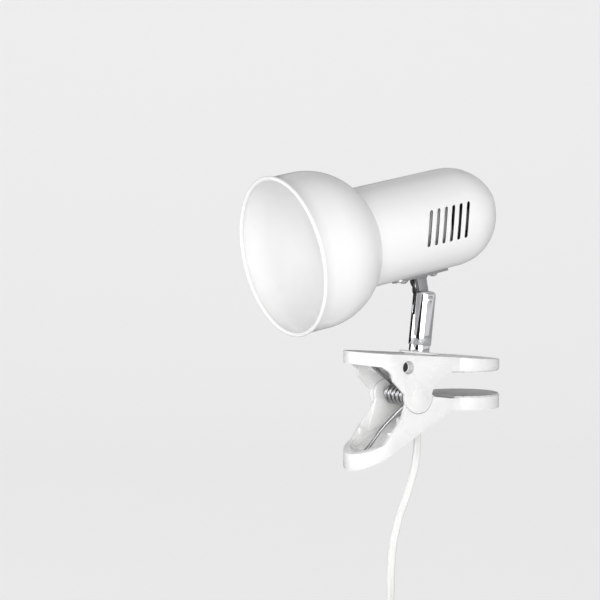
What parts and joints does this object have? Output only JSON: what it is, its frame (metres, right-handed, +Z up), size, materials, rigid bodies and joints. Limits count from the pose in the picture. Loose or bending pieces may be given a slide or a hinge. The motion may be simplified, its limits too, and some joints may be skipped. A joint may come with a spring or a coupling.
{
  "type": "clip-on reading lamp",
  "caption": "Spring-clamp reading lamp: bell shade on a vented round housing, tilting on a short chrome stem, with a flat mains cord, in-line switch and plug.",
  "frame": {"origin": "centre of the upper jaw's gripping face, on the top of the shelf it clamps", "axes": "+Z up, +X into the shelf from its front edge, +Y to the shelf's left seen from the room; the lamp is symmetric about the XZ plane apart from its fasteners and spring"},
  "size_m": [0.1973, 0.1, 0.4357],
  "materials": {
    "white_paint": "gloss powder coat",
    "white_plastic": "gloss",
    "chrome": "polished",
    "zinc_steel": "zinc plated",
    "spring_steel": "drawn wire",
    "brass": "machined",
    "nickel": "nickel plated",
    "rubber": "matt",
    "grip_rubber": "matt",
    "ceramic": "unglazed steatite",
    "bulb_glass": "aluminised inside",
    "lens_glass": "clear, stippled",
    "white_cord": "soft PVC",
    "black_sleeve": "heat-resistant sleeve",
    "wire_sleeve": "glass-fibre sleeve"
  },
  "bodies": {
    "clip": {"upper_lever": "white_plastic", "upper_grip": "grip_rubber", "pivot_pin": "nickel", "pin_ring": "spring_steel", "torsion_spring": "spring_steel", "spacer_bar": "zinc_steel", "side_screws": "zinc_steel", "base_flange": "white_paint", "swivel_collar": "chrome", "cord_grip": "white_plastic", "grip_screws": "zinc_steel", "cord_upper": "white_cord", "switch_top": "white_plastic", "switch_bottom": "white_plastic", "switch_screws": "zinc_steel", "cord_lower": "white_cord", "cord_coil": "white_cord", "cord_tie": "rubber", "cord_tail": "white_cord", "plug_relief": "white_cord", "plug_body": "white_plastic", "plug_pins": "nickel"},
    "jaw": {"lower_lever": "white_plastic", "lower_grip": "grip_rubber"},
    "stem": {"stem_tube": "chrome", "stem_nipple": "brass", "swivel_washer": "zinc_steel", "stem_nut": "brass", "tilt_pin": "nickel", "tilt_washers": "spring_steel", "head_lead": "black_sleeve"},
    "head": {"front_shade": "white_paint", "rear_housing": "white_paint", "lamp_holder": "ceramic", "holder_contacts": "brass", "holder_strap": "zinc_steel", "strap_screws": "nickel", "bulb_reflector": "bulb_glass", "bulb_lens": "lens_glass", "bulb_base": "ceramic", "bulb_pins": "nickel", "holder_wires": "wire_sleeve", "lead_grommet": "rubber", "hinge_bracket": "zinc_steel", "bracket_screws": "nickel", "bracket_nuts": "zinc_steel"},
    "rocker": {"switch_rocker": "white_plastic"}
  },
  "joints": [
    {"name": "jaw_hinge", "type": "hinge", "parent": "clip", "child": "jaw", "pos_m": [-0.046, 0, -0.0141], "axis": [0, 1, 0], "range_deg": [-12, 30], "stiffness_Nm_per_rad": 1.4, "deforming": ["torsion_spring"]},
    {"name": "stem_swivel", "type": "hinge", "parent": "clip", "child": "stem", "pos_m": [-0.032, 0, 0.01152], "axis": [0.1132, 0, 0.9936], "range_deg": [-170, 170]},
    {"name": "head_tilt", "type": "hinge", "parent": "stem", "child": "head", "pos_m": [-0.02809, 0, 0.0458], "axis": [0, 1, 0], "range_deg": [-12, 75], "deforming": ["head_lead"]},
    {"name": "switch_rocker", "type": "hinge", "parent": "clip", "child": "rocker", "pos_m": [-0.053, -0.006, -0.181], "axis": [1, 0, 0], "range_deg": [-7, 0]}
  ]
}
